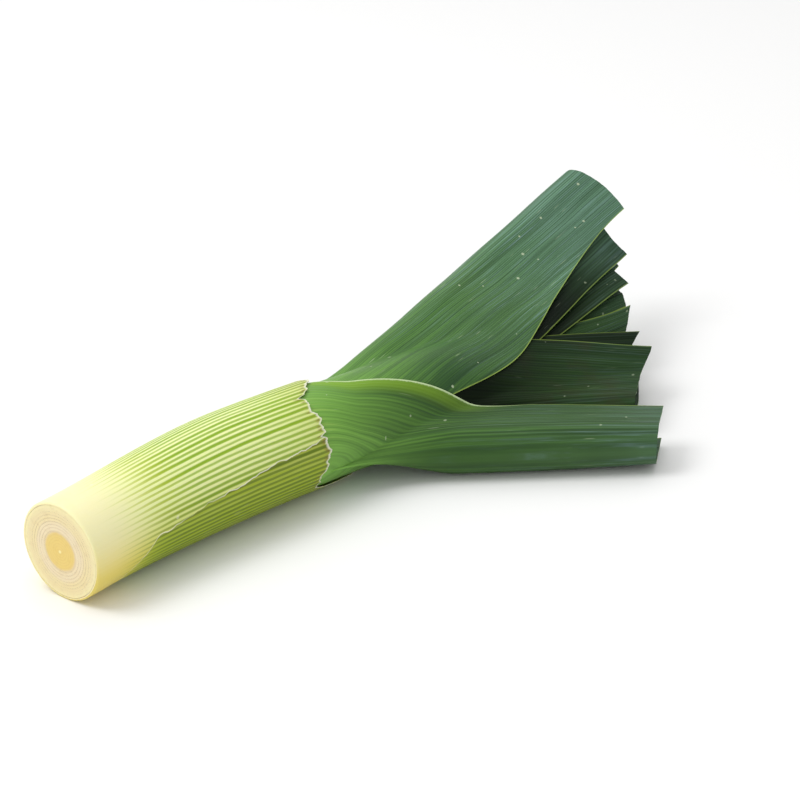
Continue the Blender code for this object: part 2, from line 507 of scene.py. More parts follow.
@dataclass(frozen=True)
class LeafSize:
    """The sizes of one leaf, in millimetres and degrees, how its skin differs from the others', and how
    much painted shade dims its blade.
    """

    index: int
    collar: float
    length: float
    widest_half: float
    spread: float
    turn: float
    tip_narrowing: float
    tip_lead: float
    light: float
    bulge: float = 0.0
    straight_veins: float = 0.0
    browning: float = 0.0
    fresh_margin: float = 0.0


# The ninth number, light, is painted shade: the share of light that a leaf's blade keeps, lower for
# leaves that lie in the shade of others.
LEAF_SIZES = (
    LeafSize(1, 118.0, 266.0, 28.0, 33.0, 57.0, 0.0, 0.3, 0.6, fresh_margin=0.8),
    LeafSize(2, 122.0, 347.5, 58.0, 20.7, 46.0, 0.45, 0.27, 1.0, bulge=2.5, straight_veins=0.85),
    LeafSize(3, 142.0, 274.0, 50.0, 23.0, 90.0, 0.1, 0.5, 0.36, browning=0.35),
    LeafSize(4, 149.0, 346.5, 44.0, 22.0, 45.0, 0.05, -0.18, 0.38),
    LeafSize(5, 157.0, 265.0, 46.0, 17.8, 75.0, 0.07, 0.87, 0.15),
    LeafSize(6, 163.0, 332.0, 31.0, 15.0, 45.0, 0.09, -0.17, 0.28),
    LeafSize(7, 171.0, 310.5, 19.5, -6.0, 50.0, 0.5, 1.3, 0.35),
    LeafSize(8, 175.0, 325.5, 12.0, 4.6, 40.0, 0.28, -0.66, 0.3),
)


@dataclass
class Leaf(Sheet):
    """One leaf: a closed sheath low down, and a blade folded along its keel above it."""

    size: LeafSize
    blade_rows: int
    rank: Rank = field(init=False)
    collar: float = field(init=False)
    length: float = field(init=False)
    widest_half: float = field(init=False)

    def __post_init__(self) -> None:
        """Takes over the sizes in metres. Even leaves stand in the upper rank."""
        self.rank = Rank.UPPER if self.size.index % 2 == 0 else Rank.LOWER
        self.collar = self.size.collar * MM
        self.length = self.size.length * MM
        self.widest_half = self.size.widest_half * MM

    def cut_at(self, u: Array) -> Array:
        """How far along the leaf its tip is cut. The cut bulges a little and isn't quite even."""
        ends = self.length + self.size.bulge * MM * np.sin(math.pi * np.abs(u))
        return ends + UNEVEN_CUT * waver(u * 1.3, self.size.index * 1.7)

    def stations(self, u: Array) -> Array:
        """Places along the leaf, closest at the collar.

        Args:
            u: Places across the leaf.

        Returns:
            One row for each station, with a column for each place across.
        """
        low = [station * MM for station in ROOT_STATIONS]
        low += list(np.linspace(24.0 * MM, self.collar, 12))
        shares = (np.arange(1, self.blade_rows + 1) / self.blade_rows) ** 1.25
        ends = self.cut_at(u)
        rows = [np.full(u.shape, station) for station in low]
        rows += [self.collar + (ends - self.collar) * share for share in shares]
        return np.stack(rows)

    def half_width(self, s: Array) -> Array:
        """Width of one half of the leaf, measured across the folded leaf.

        Args:
            s: Places along the leaf.

        Returns:
            The distance from the keel to the margin.
        """
        round_width = 2 * GROWTH.sheath_radius(self.size.index, s)
        run = np.where(self.widest_half > round_width, GROWTH.widen, GROWTH.narrow)
        past = s - self.collar
        grown = round_width + (self.widest_half - round_width) * smooth(past / run)
        narrowed = smooth((past - GROWTH.opening) / (self.length - self.collar - GROWTH.opening))
        wide = grown * (1.0 - self.size.tip_narrowing * narrowed)
        return np.where(s <= self.collar, round_width, wide)

    def across(self, s: Array, u: Array) -> Array:
        """Spreads the places over the half width: evenly round the sheath, then across the blade.

        Args:
            s: Places along the leaf.
            u: Places across it.

        Returns:
            The share of the half width.
        """
        even = GROWTH.flat_share(s)
        share = np.abs(u)
        return (1.0 - even) * (1.0 - np.cos(math.pi * share)) / 2 + even * share

    def middle(self, s: Array, u: Array) -> Array:
        """Points of the middle surface.

        Args:
            s: Places along the keel.
            u: Places across, from one margin at -1 to the other at 1.

        Returns:
            One row of x, n and b for each point.
        """
        size = self.size
        past = np.maximum(s - self.collar, 0.0)
        out_way, along, angle = arc(past, 0.0, math.radians(size.spread), size.turn * MM)
        x = np.minimum(s, self.collar) + along
        out = GROWTH.sheath_radius(size.index, np.minimum(s, self.collar)) + out_way
        width = self.half_width(s)
        v = width * self.across(s, u)
        lead = size.tip_lead * v * (past / (self.length - self.collar)) ** 2
        x = x + v * np.sin(angle) + lead * np.cos(angle)
        n = self.rank.value * (out - v * np.cos(angle) + lead * np.sin(angle))
        depth = self.fold_depth(x, n, v, width, s <= self.collar)
        return np.stack([x, n, np.sign(u) * depth], axis=1)

    def nose(self, distance: Array, flat: Array) -> Array:
        """Share of a fold's full depth at this distance from its keel or seam."""
        share = np.clip(distance / (0.8 * flat + 2.0 * MM), 0.0, 1.0)
        return np.sqrt(1.0 - (1.0 - share) ** 2)

    def fold_depth(self, x: Array, n: Array, v: Array, width: Array, closed: Array) -> Array:
        """How far each half stands off the plane of the fan.

        Args:
            x: Places along the leek.
            n: Places across it.
            v: Distance from the keel.
            width: The half width there.
            closed: Where the leaf is still a closed sheath.

        Returns:
            The depth of one half.
        """
        radius = GROWTH.sheath_radius(self.size.index, x)
        opened = smooth((x - GROWTH.opens_from) / GROWTH.opening)
        flat = GROWTH.leaf_pitch(x, n) * (GROWTH.leaf_count + 1 - self.size.index)
        rounded = (1.0 - GROWTH.flat_share(x)) * np.sqrt(radius**2 - (flat * opened) ** 2)
        hollow = np.maximum(1.0 - (n / radius) ** 2, 0.0)
        rounded = rounded * hollow ** (0.5 + GROWTH.lens * opened)
        open_part = flat * opened * self.nose(v, flat)
        seam = self.nose(np.maximum(width - v, 0.0), flat)
        return np.hypot(rounded, np.where(closed, open_part * seam, open_part))

    def vein_place(self, s: Array, u: Array, share: Array) -> Array:
        """Which vein runs through each point, from 0 at the keel to 1 at the margin.

        Veins that follow the margin sway with it. Straight ones fan out from the collar to the tip.

        Args:
            s: Places along the leaf.
            u: Places across it.
            share: The share of the half width at each point.

        Returns:
            The place of the vein.
        """
        if not self.size.straight_veins:
            return share
        side = self.rank.value
        x, n = self.middle(s, u)[:, 0], self.middle(s, u)[:, 1] * side
        line = self.middle(np.linspace(self.collar, self.length, 40), np.zeros(40))
        keel_x, keel_n = line[:, 0], line[:, 1] * side
        slope = (keel_n[-1] - keel_n[-2]) / (keel_x[-1] - keel_x[-2])
        keel = np.interp(x, keel_x, keel_n) + slope * np.maximum(x - keel_x[-1], 0.0)
        tip = self.middle(np.array([self.length]), np.array([1.0]))[0]
        low = -GROWTH.sheath_radius(self.size.index, self.collar)
        fall = (tip[1] * side - low) / (tip[0] - self.collar)
        margin = low + fall * np.maximum(x - self.collar, 0.0)
        return share + self.size.straight_veins * ((keel - n) / (keel - margin) - share)

    def marks(self, s: Array, u: Array) -> dict[str, Array]:
        """Distances that the finishes read.

        Args:
            s: Places along the leaf.
            u: Places across it.

        Returns:
            One value a point under each name.
        """
        width = self.half_width(s)
        share = self.across(s, u)
        open_by = smooth((s - self.collar) / MARGIN_OPENS)
        return {
            "along": s,
            "across": self.vein_place(s, u, share),
            "keel_mm": width * share / MM,
            "margin_mm": width * (1.0 - share) / MM + FAR_FROM_MARGIN_MM * (1.0 - open_by),
            "cut_mm": (self.cut_at(u) - s) / MM,
        }

    def walls(self, s: Array, u: Array, held: dict[str, Array]) -> tuple[Array, Array]:
        """Walls with ribs along the veins, a raised keel, thin margins and soft long buckles.

        Args:
            s: Places along the leaf.
            u: Places across it.
            held: The marks at each point.

        Returns:
            The outer and the inner wall.
        """
        outer, inner = filled_walls(s, 0.002 * MM)
        lively = smooth((s - 0.5 * self.collar) / (0.5 * self.collar))
        rib = np.cos(2 * math.pi * self.veins * held["across"])
        rib = rib * lively * smooth(held["margin_mm"] / 3.0)
        keel = np.exp(-((held["keel_mm"] / 1.6) ** 2)) * smooth((s - self.collar) / (25.0 * MM))
        outer = outer + 0.035 * MM * rib + 0.15 * MM * keel
        inner = inner - 0.03 * MM * rib
        thin = 1.0 - 0.5 * (1.0 - smooth(held["margin_mm"] / 2.2))
        place = held["across"] * 2.6 + 0.4 * np.sign(u) + s * 3.0
        buckle = 0.12 * MM * waver(place, self.size.index * 2.1)
        buckle = buckle * smooth((s - self.collar) / (60.0 * MM))
        return outer * thin + buckle, inner * thin - buckle


@dataclass
class OuterSheath(Sheet):
    """The torn outermost sheath, with its tongue, its heel and the skin peeled off along its side."""

    torn_at: float = 120.0 * MM
    tongue: float = 13.0 * MM
    tongue_angle: float = math.radians(50.0)
    tongue_width: float = 0.6
    fray: float = 2.5 * MM
    heel: float = 38.0 * MM
    heel_width: float = 0.5
    frays_from: float = 100.0 * MM
    notches: tuple[tuple[float, float], ...] = (
        (0.1, 2.2), (-0.62, 3.0), (1.45, 2.6), (2.3, 3.4), (-2.2, 2.8),
    )
    peel_start: float = 7.0 * MM
    peel_steep: tuple[float, float] = (9.0 * MM, 32.0 * MM)
    peel_edges: tuple[float, float, float] = (215.0, 158.0, 262.0)
    peel_slope: float = 4.5

    def stations(self, u: Array) -> Array:
        """Places along the sheath, the same all the way round.

        Args:
            u: Places round it.

        Returns:
            One row for each station, with a column for each place round it.
        """
        low = [station * MM for station in ROOT_STATIONS]
        low += list(np.linspace(18.0 * MM, self.frays_from, 70))
        low += list(np.linspace(self.frays_from, self.torn_at, 30))[1:]
        return np.stack([np.full(u.shape, station) for station in low])

    def near(self, turn: Array, centre: float, width: float) -> Array:
        """A smooth hump round the shank: 1 at the centre angle, falling away over the width."""
        offset = np.arctan2(np.sin(turn - centre), np.cos(turn - centre))
        return np.exp(-((offset / width) ** 2))

    def reach(self, turn: Array) -> Array:
        """How much further than its shortest part the torn edge goes.

        Args:
            turn: Angles round the shank.

        Returns:
            The reach of the tongue, the heel, the slow fray and the teeth together.
        """
        far = self.tongue * self.near(turn, self.tongue_angle, self.tongue_width)
        far = far + self.heel * self.near(turn, GROWTH.lean - math.pi, self.heel_width)
        far = far + self.fray * np.sin(3.0 * turn + 0.6)
        share = turn / (2.0 * math.pi)
        teeth = 1.1 * MM * waver(share * 7.0, 0.6) + 0.8 * MM * waver(share * 19.0, 2.2)
        for centre, depth in self.notches:
            teeth = teeth - depth * MM * self.near(turn, centre, 0.035)
        return far + teeth

    def along(self, s: Array, u: Array) -> Array:
        """The place along the leek of a station, which spreads out as the sheath frays."""
        share = np.maximum(s - self.frays_from, 0.0) / (self.torn_at - self.frays_from)
        return s + self.reach(math.pi * u) * share

    def middle(self, s: Array, u: Array) -> Array:
        """Points of the middle surface.

        Args:
            s: Places along the sheath.
            u: Places round it, from -1 to 1.

        Returns:
            One row of x, n and b for each point.
        """
        turn = math.pi * u
        x = self.along(s, u)
        radius = GROWTH.sheath_radius(0, x)
        return np.stack([x, radius * np.cos(turn), radius * np.sin(turn)], axis=1)

    def marks(self, s: Array, u: Array) -> dict[str, Array]:
        """Distances that the finishes read.

        Args:
            s: Places along the sheath.
            u: Places round it.

        Returns:
            One value a point under each name.
        """
        x = self.along(s, u)
        end = self.torn_at + self.reach(math.pi * u)
        return {
            "along": x,
            "across": np.abs(u),
            "keel_mm": GROWTH.sheath_radius(0, x) * math.pi * np.abs(u) / MM,
            "cut_mm": (end - x) / MM,
            "peel_mm": self.peel_depth(x, u),
            # How far the surface faces up, which the finish uses for painted light and shade.
            "high": np.cos(math.pi * u - GROWTH.lean),
        }

    def peel_depth(self, x: Array, u: Array) -> Array:
        """How far inside the peeled patch a place lies.

        Args:
            x: Places along the leek.
            u: Places round it.

        Returns:
            The distance from the patch's edge in millimetres, negative outside it.
        """
        turn = np.mod(math.pi * u, 2.0 * math.pi)
        first, last, lower = (math.radians(angle) for angle in self.peel_edges)
        begin, end = self.peel_steep
        steep = (np.clip(x, begin, end) - begin) / (end - begin)
        upper = first + (last - first) * steep - self.peel_slope * np.maximum(x - end, 0.0)
        upper = upper + 0.035 * waver(x / (34.0 * MM), 0.4) + 0.012 * waver(x / (9.0 * MM), 1.3)
        inside = np.minimum(turn - upper, lower - turn) * GROWTH.sheath_radius(0, x) / MM
        return np.clip(np.minimum(inside, (x - self.peel_start) / MM), -4.0, 4.0)

    def walls(self, s: Array, u: Array, held: dict[str, Array]) -> tuple[Array, Array]:
        """Walls with ribs between the green veins, a rounded cut rim and the step of the peeled skin.

        Args:
            s: Places along the sheath.
            u: Places round it.
            held: The marks at each point.

        Returns:
            The outer and the inner wall.
        """
        outer, inner = filled_walls(s, 1.0 * MM)
        rib = np.cos(2 * math.pi * self.veins * held["across"])
        risen = smooth((held["along"] - 14.0 * MM) / (40.0 * MM))
        outer = outer + 0.07 * MM * (rib - 1.0) * risen
        turn = math.pi * u
        dents = np.sin(2 * turn + 11.0 * s) + 0.7 * np.sin(3 * turn - 23.0 * s + 1.0)
        outer = outer - 0.05 * MM * (1.0 + 0.5 * dents) * smooth(s / (10.0 * MM))
        outer = outer - 0.16 * MM * smooth(held["peel_mm"] / 1.2 + 0.5)
        thin = 0.45 + 0.55 * smooth(held["cut_mm"] / 3.0)
        return outer * thin, inner * thin


@dataclass
class Heart:
    """The stem with the youngest leaves rolled on it, cut across at the root."""

    name: str = "heart_flesh"
    radius: float = 8.3 * MM
    length: float = 120.0 * MM
    vertices: int = 96
    rings: int = 9
    bands: int = 18

    def build(self) -> Piece:
        """Models the spindle and the rings of its cut.

        Returns:
            The finished piece, laid down in the shared frame.
        """
        select_only()
        bpy.ops.mesh.primitive_cone_add(
            vertices=self.vertices,
            radius1=self.radius,
            radius2=self.radius * 0.3,
            depth=self.length,
            calc_uvs=False,
        )
        piece = bpy.context.active_object
        piece.name = self.name
        piece.data.name = self.name
        self.cut_rings(piece)
        self.divide_sides(piece)
        self.lay_down(piece.data)
        for polygon in piece.data.polygons:
            polygon.material_index = 0
        bpy.ops.object.shade_smooth_by_angle(angle=SMOOTH_BELOW)
        return piece

    def cut_rings(self, piece: Piece) -> None:
        """Insets the cut face ring by ring, each a little higher or lower than the last.

        Args:
            piece: The spindle, which is left in edit mode.
        """
        edit(piece)
        bpy.ops.mesh.select_all(action="DESELECT")
        edit(piece, "OBJECT")
        for polygon in piece.data.polygons:
            polygon.select = polygon.center.z < -self.length / 2 + 0.5 * MM
        edit(piece)
        bpy.ops.mesh.select_mode(type="FACE")
        for ring in range(self.rings):
            step = self.radius / (self.rings + 1.5)
            bpy.ops.mesh.inset(thickness=step, depth=0.05 * MM * math.sin(2.1 * ring + 0.4))
        bpy.ops.mesh.poke()

    def divide_sides(self, piece: Piece) -> None:
        """Divides the long sides, so that the spindle can follow the shank's bow.

        Args:
            piece: The spindle, in edit mode.
        """
        bpy.ops.mesh.select_all(action="DESELECT")
        edit(piece, "OBJECT")
        points = piece.data.vertices
        for line in piece.data.edges:
            first, second = (points[end].co for end in line.vertices)
            line.select = abs(first.z - second.z) > 10.0 * MM
        edit(piece)
        bpy.ops.mesh.select_mode(type="EDGE")
        bpy.ops.mesh.subdivide(number_cuts=self.bands)
        edit(piece, "OBJECT")

    def lay_down(self, mesh: Mesh) -> None:
        """Lays the spindle down and writes what its finish reads.

        Args:
            mesh: The spindle's mesh.
        """
        points = read_points(mesh)
        x = points[:, 2] + self.length / 2
        write_value(mesh, "axis_mm", np.hypot(points[:, 0], points[:, 1]) / MM)
        write_points(mesh, GROWTH.lay(np.stack([x, points[:, 0], points[:, 1]], axis=1)))


class Wiring:
    """Adds and joins the nodes of one shader tree."""

    def __init__(self, tree: bpy.types.NodeTree) -> None:
        """Keeps the tree that is wired."""
        self.tree = tree

    def node(self, kind: str, **settings: object) -> bpy.types.Node:
        """Adds a node.

        Args:
            kind: The type of node.
            **settings: A value for each of its own properties.

        Returns:
            The node.
        """
        made = self.tree.nodes.new(kind)
        for name, value in settings.items():
            setattr(made, name, value)
        return made

    def feed(self, target: Socket, source: object) -> None:
        """Gives a socket a link or a value.

        Args:
            target: The socket.
            source: Another node's output, or a plain value.
        """
        if isinstance(source, bpy.types.NodeSocket):
            self.tree.links.new(source, target)
        else:
            target.default_value = source

    def fed(
        self, kind: str, output: int | str, sources: dict[int | str, object], **settings: object
    ) -> Socket:
        """Adds a node and feeds its inputs.

        Args:
            kind: The type of node.
            output: The output to give back, by its number or name.
            sources: A value or another node's output for each input.
            **settings: A value for each of the node's own properties.

        Returns:
            The output.
        """
        made = self.node(kind, **settings)
        for target, source in sources.items():
            self.feed(made.inputs[target], source)
        return made.outputs[output]

    def maths(self, operation: str, *parts: object) -> Socket:
        """One step of arithmetic on one, two or three values."""
        return self.fed("ShaderNodeMath", 0, dict(enumerate(parts)), operation=operation)

    def scaled(self, value: object, factor: object, offset: object) -> Socket:
        """A value times a factor, with an offset added."""
        return self.maths("MULTIPLY_ADD", value, factor, offset)

    def sway(self, value: object, noise: Socket, width: float) -> Socket:
        """A value that a noise moves to either side, over this whole width."""
        return self.scaled(self.maths("SUBTRACT", noise, 0.5), width, value)

    def off_centre(self, value: Socket, pitch: float) -> Socket:
        """How far a value lies from the middle of its own stretch of this pitch, up to a half of it."""
        part = self.maths("FRACT", self.maths("DIVIDE", value, pitch))
        return self.maths("ABSOLUTE", self.maths("SUBTRACT", part, 0.5))

    def step(self, value: object, low: object, high: object) -> Socket:
        """A smooth step from 0 at low to 1 at high."""
        sources = {"Value": value, "From Min": low, "From Max": high}
        return self.fed("ShaderNodeMapRange", "Result", sources, interpolation_type="SMOOTHSTEP")

    def fade(self, value: object, low: object, high: object) -> Socket:
        """A smooth step from 1 at low to 0 at high."""
        return self.maths("SUBTRACT", 1.0, self.step(value, low, high))

    def product(self, *parts: object) -> object:
        """Multiplies several values.

        Args:
            *parts: The values. A single one is given back as it is.

        Returns:
            The product.
        """
        result = parts[0]
        for part in parts[1:]:
            result = self.maths("MULTIPLY", result, part)
        return result

    def blend(self, share: object, first: object, second: object, way: str = "MIX") -> Socket:
        """Lays a second colour over a first one.

        Args:
            share: How much of the second shows.
            first: The colour beneath.
            second: The colour above.
            way: How the two are combined.

        Returns:
            The colour that results.
        """
        sources = {0: share, 6: first, 7: second}
        return self.fed("ShaderNodeMix", 2, sources, data_type="RGBA", blend_type=way)

    def ramp(self, value: object, stops: Sequence[tuple[float, Colour]]) -> Socket:
        """A colour that changes with a value.

        Args:
            value: The value, from 0 to 1.
            stops: Places on the way from 0 to 1, each with its colour.

        Returns:
            The colour.
        """
        made = self.node("ShaderNodeValToRGB")
        points = made.color_ramp.elements
        while len(points) < len(stops):
            points.new(0.5)
        for point, (place, colour) in zip(points, stops):
            point.position = place
            point.color = colour
        self.feed(made.inputs[0], value)
        return made.outputs["Color"]

    def marks(self, *names: str) -> list[Socket]:
        """Numbers that the mesh holds at each of its points."""
        return [self.node("ShaderNodeAttribute", attribute_name=name).outputs["Fac"] for name in names]

    def stretched(
        self, across: object, along: object, scales: Sequence[float], seed: float = 0.0
    ) -> Socket:
        """A place in a noise that is stretched along the leaf.

        Args:
            across: The place across the leaf.
            along: The place along it.
            scales: What each of the two is multiplied with.
            seed: Takes another slice of the noise.

        Returns:
            The place.
        """
        place = {0: self.product(across, scales[0]), 1: self.product(along, scales[1]), 2: seed}
        return self.fed("ShaderNodeCombineXYZ", 0, place)

    def noise(self, place: Socket, scale: float, detail: float = 3.0, rough: float = 0.55) -> Socket:
        """Soft noise from 0 to 1.

        Args:
            place: Where it is read.
            scale: How fine it is.
            detail: How many finer layers are added.
            rough: How strong they are.

        Returns:
            The noise at that place.
        """
        sources = {"Vector": place, "Scale": scale, "Detail": detail, "Roughness": rough}
        return self.fed("ShaderNodeTexNoise", "Fac", sources, noise_dimensions="3D")

    def body_place(self) -> Socket:
        """The place on the piece, in metres."""
        return self.node("ShaderNodeTexCoord").outputs["Object"]

    def distance_mm(self, centre: Sequence[float]) -> Socket:
        """Measures how far the place lies from a centre.

        Args:
            centre: The centre, in metres.

        Returns:
            The distance in millimetres.
        """
        ends = {0: self.body_place(), 1: centre}
        span = self.fed("ShaderNodeVectorMath", "Value", ends, operation="DISTANCE")
        return self.maths("DIVIDE", span, MM)


class Effect:
    """A shader group that several finishes share. It is built once."""

    title: str = ""
    takes: Sequence[str] = ()
    gives: Sequence[str] = ()

    def group(self) -> bpy.types.NodeTree:
        """Finds the group, or makes it on first use.

        Returns:
            The group's tree.
        """
        found = bpy.data.node_groups.get(self.title)
        if found:
            return found
        tree = bpy.data.node_groups.new(self.title, "ShaderNodeTree")
        for way, names in (("INPUT", self.takes), ("OUTPUT", self.gives)):
            for name in names:
                tree.interface.new_socket(name, in_out=way, socket_type="NodeSocketFloat")
        wiring = Wiring(tree)
        entry = wiring.node("NodeGroupInput")
        leave = wiring.node("NodeGroupOutput")
        given = self.fill(wiring, [entry.outputs[name] for name in self.takes])
        for name, source in zip(self.gives, given):
            wiring.feed(leave.inputs[name], source)
        return tree

    def fill(self, wiring: Wiring, taken: Sequence[Socket]) -> Sequence[Socket]:
        """Wires the inside of the group, from what it takes to what it gives."""
        raise NotImplementedError

    def use(self, wiring: Wiring, *values: object) -> list[Socket]:
        """Places the group in a material.

        Args:
            wiring: The material's tree.
            *values: A value or output for each thing that the group takes.

        Returns:
            What the group gives, in its own order.
        """
        made = wiring.node("ShaderNodeGroup", node_tree=self.group())
        for name, value in zip(self.takes, values):
            wiring.feed(made.inputs[name], value)
        return [made.outputs[name] for name in self.gives]


class VeinLines(Effect):
    """Lines along the veins. Each starts at its own height, and widens from there."""

    title = "vein_lines"
    takes = ("Across", "Along", "Count", "Start", "Run", "Width")
    gives = ("Lines", "Streaks", "Own")

    def fill(self, wiring: Wiring, taken: Sequence[Socket]) -> Sequence[Socket]:
        """Wires the group.

        Args:
            wiring: The group's tree.
            taken: What the group takes.

        Returns:
            The lines, the streaks between them and a value that each vein has to itself.
        """
        across, along, count, start, run, width = taken
        phase = wiring.product(across, count)
        cell = wiring.maths("FLOOR", phase)
        own = wiring.fed("ShaderNodeTexWhiteNoise", "Value", {"W": cell}, noise_dimensions="1D")
        begin = wiring.product(start, wiring.scaled(own, 1.1, 0.45))
        past = wiring.maths("DIVIDE", wiring.maths("SUBTRACT", along, begin), run)
        grown = wiring.step(past, 0.0, 1.0)
        drift = wiring.noise(wiring.stretched(cell, along, (3.7, 40.0)), 1.0, 2.0)
        offset = wiring.maths("SUBTRACT", wiring.maths("FRACT", phase), 0.5)
        distance = wiring.maths("ABSOLUTE", wiring.sway(offset, drift, 0.35))
        wide = wiring.product(width, wiring.scaled(own, 0.5, 0.75), wiring.scaled(grown, 0.65, 0.35))
        line = wiring.fade(distance, wiring.product(wide, 0.35), wiring.product(wide, 1.15))
        streaks = wiring.noise(wiring.stretched(phase, along, (1.9, 22.0)), 1.0, 4.0, 0.65)
        return wiring.product(line, grown), streaks, own


class Blemishes(Effect):
    """Pale specks, short scratches and slow mottling that any leaf picks up."""

    title = "blemishes"
    takes = ("Keel", "Along", "Amount")
    gives = ("Specks", "Mottle")

    def fill(self, wiring: Wiring, taken: Sequence[Socket]) -> Sequence[Socket]:
        """Wires the group.

        Args:
            wiring: The group's tree.
            taken: What the group takes.

        Returns:
            Specks of different sizes together with scratches along the leaf, and the mottling.
        """
        keel, along, amount = taken
        here = wiring.body_place()
        cells = wiring.node("ShaderNodeTexVoronoi", feature="F1", voronoi_dimensions="2D")
        wiring.feed(cells.inputs["Vector"], wiring.stretched(keel, along, (0.13, 130.0)))
        cells.inputs["Scale"].default_value = 1.0
        cells.inputs["Randomness"].default_value = 1.0
        shade = wiring.fed("ShaderNodeSeparateColor", 0, {0: cells.outputs["Color"]})
        rare = wiring.step(shade, wiring.maths("SUBTRACT", 1.0, amount), 1.0)
        size = wiring.scaled(rare, 0.09, 0.035)
        distance = wiring.sway(cells.outputs["Distance"], wiring.noise(here, 1400.0, 2.0), 0.08)
        dot = wiring.fade(distance, wiring.product(size, 0.5), size)
        dot = wiring.product(dot, wiring.step(rare, 0.0, 0.02), wiring.step(keel, 1.0, 2.5))
        scratch = wiring.noise(wiring.stretched(keel, along, (1.2, 60.0)), 1.0, 1.0)
        scratch = wiring.product(wiring.step(scratch, 0.71, 0.78), 0.5)
        return wiring.maths("MAXIMUM", dot, scratch), wiring.noise(here, 38.0, 4.0, 0.6)


VEINS = VeinLines()
BLEMISHES = Blemishes()


@dataclass(frozen=True)
class VeinSet:
    """A set of vein lines: how many to a vein, and in metres where they start and how they widen."""

    to_a_vein: float
    start: float
    run: float
    width: float


class Paint(Wiring):
    """The wiring of one material, with the colour that is laid so far."""

    def __init__(self, name: str, roughness: float, **values: float) -> None:
        """Makes the material, with plain values set on the shader itself.

        Args:
            name: The material's name.
            roughness: The roughness where nothing feeds it.
            **values: A value for other inputs of the shader, under their names with underscores.
        """
        self.material = bpy.data.materials.new(name)
        self.material.use_nodes = True
        super().__init__(self.material.node_tree)
        self.shader = self.tree.nodes["Principled BSDF"].inputs
        self.shader["Roughness"].default_value = roughness
        self.shader["Coat Roughness"].default_value = 0.25
        for title, value in values.items():
            self.shader[title.replace("_", " ")].default_value = value
        self.colour: object = None

    def over(self, colour: object, *shares: object) -> None:
        """Lays a colour over what is there, as strongly as the product of the shares."""
        self.colour = self.blend(self.product(*shares), self.colour, colour)

    def veins(self, kind: VeinSet, count: int) -> list[Socket]:
        """Draws lines along the veins.

        Args:
            kind: Where the lines start and how they widen.
            count: Veins on each half of the leaf.

        Returns:
            The lines, the streaks between them and each line's own value.
        """
        across, along = self.marks("across", "along")
        lines = kind.to_a_vein * count
        return VEINS.use(self, across, along, lines, kind.start, kind.run, kind.width)

    def blemishes(self, amount: float) -> list[Socket]:
        """Specks and mottling, with this amount of specks."""
        keel, along = self.marks("keel_mm", "along")
        return BLEMISHES.use(self, keel, along, amount)

    def soften(self, weight: float, radius: tuple[float, float, float], depth: float) -> None:
        """Lets some light pass under the surface.

        Args:
            weight: How much of the light.
            radius: How far each of red, green and blue goes, as shares of the depth.
            depth: How deep it goes, in metres.
        """
        self.shader["Subsurface Weight"].default_value = weight
        self.shader["Subsurface Radius"].default_value = radius
        self.shader["Subsurface Scale"].default_value = depth

    def finish(self, roughness: Socket, height: Socket, depth: float) -> Material:
        """Feeds the shader with the colour, a roughness and a fine relief.

        Args:
            roughness: The roughness.
            height: The relief, from 0 to 1.
            depth: How deep it is, in metres.

        Returns:
            The finished material.
        """
        relief = {"Strength": 1.0, "Distance": depth, "Height": height}
        self.feed(self.shader["Base Color"], self.colour)
        self.feed(self.shader["Roughness"], roughness)
        self.feed(self.shader["Normal"], self.fed("ShaderNodeBump", "Normal", relief))
        return self.material


